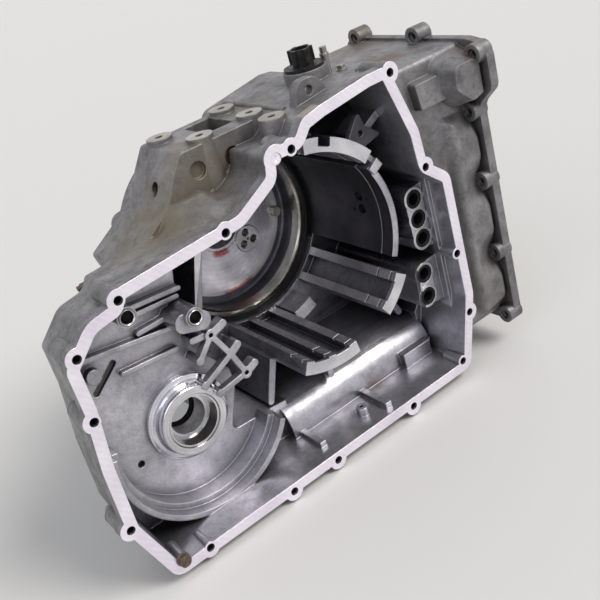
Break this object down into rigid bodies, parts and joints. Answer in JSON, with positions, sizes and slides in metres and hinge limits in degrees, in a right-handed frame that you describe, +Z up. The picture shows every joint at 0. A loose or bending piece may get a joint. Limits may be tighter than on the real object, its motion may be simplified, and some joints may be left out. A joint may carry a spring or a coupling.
{
  "type": "gearbox housing",
  "caption": "Cast aluminium transaxle gearbox housing with an open bell, a clutch barrel, a drum bore, a differential pocket and a box for the valve body.",
  "frame": {"origin": "the main shaft axis where it meets the joint face", "axes": "+Y along the main shaft into the housing, +Z up, X along the foot of the joint face"},
  "size_m": [0.553, 0.288, 0.417],
  "materials": {
    "cast_aluminium": "die cast, satin",
    "machined_aluminium": "machined",
    "bearing_steel": "ground",
    "ring_steel": "turned",
    "dark_steel": "phosphated",
    "zinc_steel": "zinc plated",
    "rusty_steel": "rusted",
    "seal_rubber": "moulded",
    "black_plastic": "moulded"
  },
  "bodies": {
    "root": {"axle_seal": "seal_rubber", "cable_stud": "rusty_steel", "case": "cast_aluminium", "clutch_piston": "dark_steel", "connector_plug": "black_plastic", "corner_bolt": "rusty_steel", "differential_bearing_cup": "bearing_steel", "drum_seal_ring": "seal_rubber", "drum_snap_ring": "ring_steel", "end_support": "machined_aluminium", "feed_insert": "ring_steel", "guide_sleeve_inner": "ring_steel", "guide_sleeve_upper": "ring_steel", "harness_bolt": "zinc_steel", "lug_plug": "machined_aluminium", "port_seal_1": "seal_rubber", "port_seal_2": "seal_rubber", "port_seal_3": "seal_rubber", "port_seal_4": "seal_rubber", "port_seal_5": "seal_rubber", "pressure_plug": "rusty_steel", "stud_nut": "rusty_steel", "support_bolt": "zinc_steel", "vent_pipe": "zinc_steel"}
  },
  "joints": []
}
